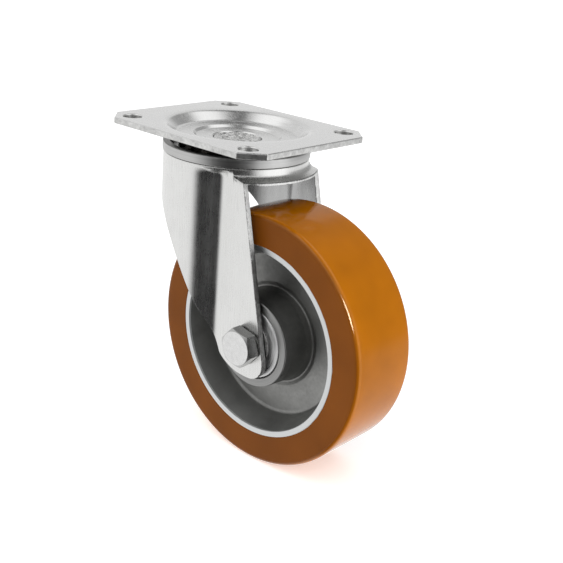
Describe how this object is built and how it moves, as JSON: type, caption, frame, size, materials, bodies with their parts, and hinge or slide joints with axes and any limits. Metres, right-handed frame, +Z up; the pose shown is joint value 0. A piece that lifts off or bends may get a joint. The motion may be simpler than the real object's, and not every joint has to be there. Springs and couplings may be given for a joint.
{
  "type": "swivel plate castor",
  "caption": "Swivel castor with a top plate and a pressed-steel fork, and a polyurethane wheel on an aluminium core; carries a gate or a trolley.",
  "frame": {"origin": "centre of the top plate's upper face, on the swivel axis", "axes": "+Z up, out of the mounting face; +X the way the wheel trails; +Y along the axle, towards the nut"},
  "size_m": [0.1501, 0.085, 0.1576],
  "materials": {
    "zinc_plate": "bright zinc plating, satin, with fine drawn grain",
    "seal_steel": "matt brushed zinc",
    "bearing_steel": "ground and oiled",
    "shield_steel": "pressed, dull",
    "cast_aluminium": "die-cast, turned bright on the rim and the boss",
    "polyurethane": "amber, glossy, slightly translucent"
  },
  "bodies": {
    "plate": {"top_plate": "zinc_plate", "kingpin": "zinc_plate", "lower_race_cup": "bearing_steel"},
    "upper_balls": {"upper_ball_set": "bearing_steel"},
    "lower_balls": {"lower_ball_set": "bearing_steel"},
    "fork": {"fork": "zinc_plate", "seal_ring": "seal_steel", "axle_bolt": "zinc_plate", "axle_nut": "zinc_plate", "nut_washer": "zinc_plate", "axle_tube": "bearing_steel", "bearing_spacer": "bearing_steel", "bolt_side_shim": "zinc_plate", "nut_side_shim": "zinc_plate", "bolt_side_inner_ring": "bearing_steel", "nut_side_inner_ring": "bearing_steel"},
    "bolt_side_balls": {"bolt_side_ball_set": "bearing_steel"},
    "nut_side_balls": {"nut_side_ball_set": "bearing_steel"},
    "wheel": {"tyre": "polyurethane", "wheel_core": "cast_aluminium", "bolt_side_outer_ring": "bearing_steel", "nut_side_outer_ring": "bearing_steel", "bolt_side_outer_shield": "shield_steel", "bolt_side_inner_shield": "shield_steel", "nut_side_outer_shield": "shield_steel", "nut_side_inner_shield": "shield_steel"}
  },
  "joints": [
    {"name": "swivel", "type": "hinge", "parent": "plate", "child": "fork", "pos_m": [0, 0, 0], "axis": [0, 0, 1], "continuous": true},
    {"name": "upper_balls_roll", "type": "hinge", "parent": "plate", "child": "upper_balls", "pos_m": [0, 0, 0], "axis": [0, 0, 1], "continuous": true},
    {"name": "lower_balls_roll", "type": "hinge", "parent": "plate", "child": "lower_balls", "pos_m": [0, 0, 0], "axis": [0, 0, 1], "continuous": true},
    {"name": "wheel_spin", "type": "hinge", "parent": "fork", "child": "wheel", "pos_m": [0.0376, 0, -0.0951], "axis": [0, 1, 0], "continuous": true},
    {"name": "bolt_side_balls_roll", "type": "hinge", "parent": "fork", "child": "bolt_side_balls", "pos_m": [0.0376, 0, -0.0951], "axis": [0, 1, 0], "continuous": true},
    {"name": "nut_side_balls_roll", "type": "hinge", "parent": "fork", "child": "nut_side_balls", "pos_m": [0.0376, 0, -0.0951], "axis": [0, 1, 0], "continuous": true}
  ],
  "couplings": [
    {"joint": "upper_balls_roll", "follows": "swivel", "ratio": 0.5},
    {"joint": "lower_balls_roll", "follows": "swivel", "ratio": 0.5},
    {"joint": "bolt_side_balls_roll", "follows": "wheel_spin", "ratio": 0.61},
    {"joint": "nut_side_balls_roll", "follows": "wheel_spin", "ratio": 0.61}
  ]
}
